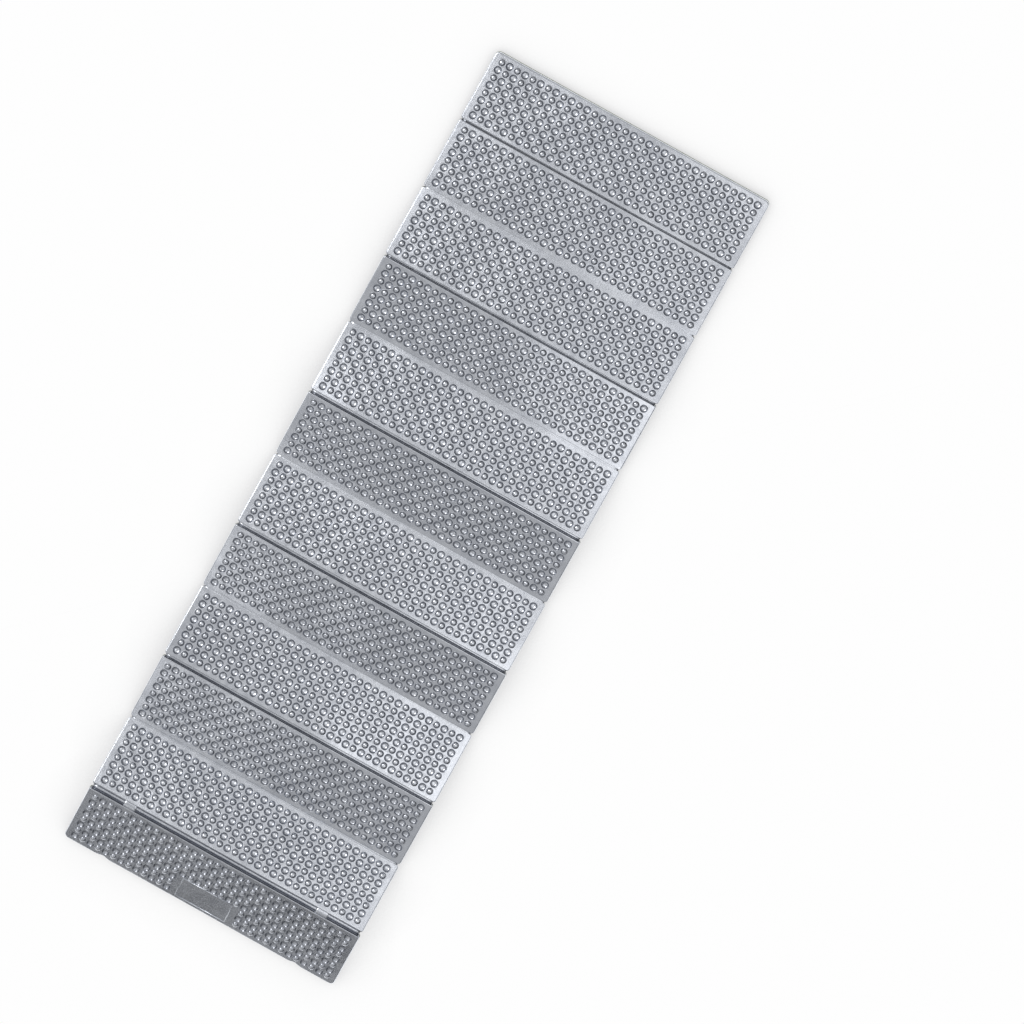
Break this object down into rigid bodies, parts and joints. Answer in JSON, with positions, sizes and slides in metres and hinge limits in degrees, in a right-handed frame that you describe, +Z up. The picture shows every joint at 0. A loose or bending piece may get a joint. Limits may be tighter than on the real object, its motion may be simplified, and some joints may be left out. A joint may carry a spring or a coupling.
{
  "type": "folding foam sleeping pad",
  "caption": "Egg-crate closed-cell foam sleeping pad with an aluminised face, in panels that fold up like an accordion.",
  "frame": {"origin": "middle of the pad's box, on the ground that the pad lies on", "axes": "+X across the pad, +Y along it towards panel 1, the head end, +Z up out of the aluminised face"},
  "size_m": [0.6, 1.7986, 0.0823],
  "materials": {
    "foam": "matte moulded closed-cell foam, moss green",
    "film": "satin aluminised film bonded to the foam"
  },
  "bodies": {
    "panel_01": {"foam_panel_01": "foam", "film_panel_01": "film"},
    "panel_02": {"foam_panel_02": "foam", "film_panel_02": "film", "fold_web_01": "foam"},
    "panel_03": {"foam_panel_03": "foam", "film_panel_03": "film", "fold_web_02": "film"},
    "panel_04": {"foam_panel_04": "foam", "film_panel_04": "film", "fold_web_03": "foam"},
    "panel_05": {"foam_panel_05": "foam", "film_panel_05": "film", "fold_web_04": "film"},
    "panel_06": {"foam_panel_06": "foam", "film_panel_06": "film", "fold_web_05": "foam"},
    "panel_07": {"foam_panel_07": "foam", "film_panel_07": "film", "fold_web_06": "film"},
    "panel_08": {"foam_panel_08": "foam", "film_panel_08": "film", "fold_web_07": "foam"},
    "panel_09": {"foam_panel_09": "foam", "film_panel_09": "film", "fold_web_08": "film"},
    "panel_10": {"foam_panel_10": "foam", "film_panel_10": "film", "fold_web_09": "foam"},
    "panel_11": {"foam_panel_11": "foam", "film_panel_11": "film", "fold_web_10": "film"},
    "panel_12": {"foam_panel_12": "foam", "film_panel_12": "film", "fold_web_11": "foam"}
  },
  "joints": [
    {"name": "fold_01", "type": "hinge", "parent": "panel_02", "child": "panel_01", "pos_m": [0, 0.74683, -0.00025], "axis": [-1, 0, 0], "range_deg": [0, 180]},
    {"name": "fold_02", "type": "hinge", "parent": "panel_02", "child": "panel_03", "pos_m": [0, 0.59433, 0.01125], "axis": [-1, 0, 0], "range_deg": [-5.27, 174.73]},
    {"name": "fold_03", "type": "hinge", "parent": "panel_03", "child": "panel_04", "pos_m": [0, 0.44142, 0.0138], "axis": [1, 0, 0], "range_deg": [-10.54, 169.47]},
    {"name": "fold_04", "type": "hinge", "parent": "panel_04", "child": "panel_05", "pos_m": [0, 0.28851, 0.01125], "axis": [-1, 0, 0], "range_deg": [-17.38, 162.62]},
    {"name": "fold_05", "type": "hinge", "parent": "panel_05", "child": "panel_06", "pos_m": [0, 0.13699, 0.03201], "axis": [1, 0, 0], "range_deg": [-24.23, 155.78]},
    {"name": "fold_06", "type": "hinge", "parent": "panel_06", "child": "panel_07", "pos_m": [0, -0.01452, 0.01125], "axis": [-1, 0, 0], "range_deg": [-24.61, 155.39]},
    {"name": "fold_07", "type": "hinge", "parent": "panel_07", "child": "panel_08", "pos_m": [0, -0.1659, 0.03302], "axis": [1, 0, 0], "range_deg": [-25, 155]},
    {"name": "fold_08", "type": "hinge", "parent": "panel_08", "child": "panel_09", "pos_m": [0, -0.31728, 0.01125], "axis": [-1, 0, 0], "range_deg": [-25.38, 154.62]},
    {"name": "fold_09", "type": "hinge", "parent": "panel_09", "child": "panel_10", "pos_m": [0, -0.4685, 0.03404], "axis": [1, 0, 0], "range_deg": [-25.77, 154.24]},
    {"name": "fold_10", "type": "hinge", "parent": "panel_10", "child": "panel_11", "pos_m": [0, -0.61973, 0.01125], "axis": [-1, 0, 0], "range_deg": [-41.05, 138.94]},
    {"name": "fold_11", "type": "hinge", "parent": "panel_11", "child": "panel_12", "pos_m": [0, -0.75959, 0.07311], "axis": [1, 0, 0], "range_deg": [-56.34, 123.66]}
  ]
}
